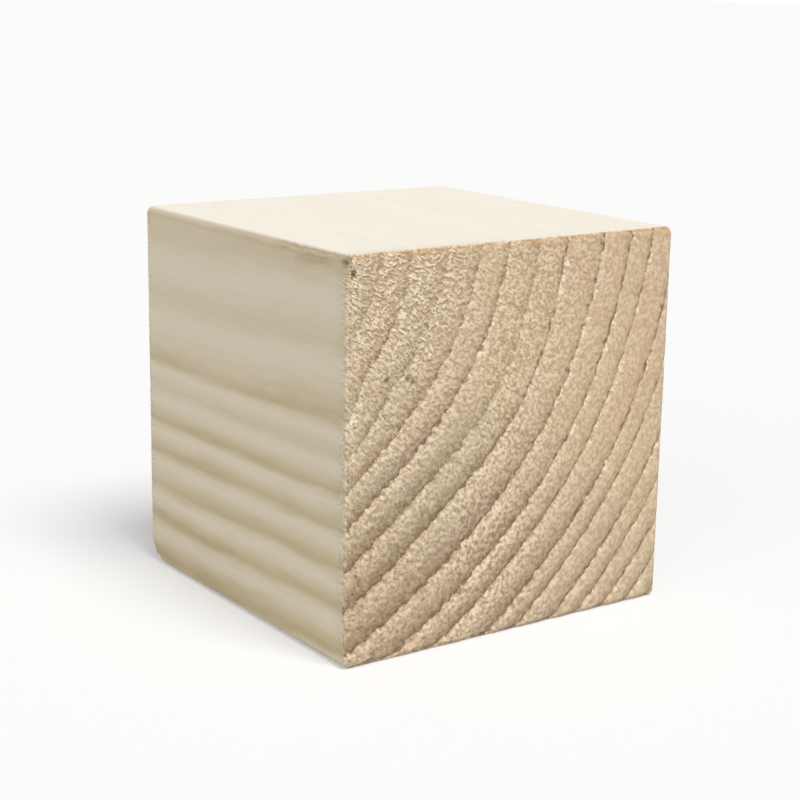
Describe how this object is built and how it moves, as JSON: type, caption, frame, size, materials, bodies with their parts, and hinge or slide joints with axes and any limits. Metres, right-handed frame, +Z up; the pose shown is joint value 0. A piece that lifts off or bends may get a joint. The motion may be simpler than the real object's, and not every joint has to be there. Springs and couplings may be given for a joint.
{
  "type": "wooden cube",
  "caption": "Solid softwood cube, planed along the grain and sawn across it, with softly eased edges, for craft, stacking or display.",
  "frame": {"origin": "middle of the bottom face", "axes": "+X across the grain, +Y along the grain, so the two sawn ends face -Y and +Y, and +Z up"},
  "size_m": [0.05, 0.05, 0.05],
  "materials": {
    "softwood": "bare, planed along the grain and sawn across it"
  },
  "bodies": {
    "root": {"wooden_cube": "softwood"}
  },
  "joints": []
}
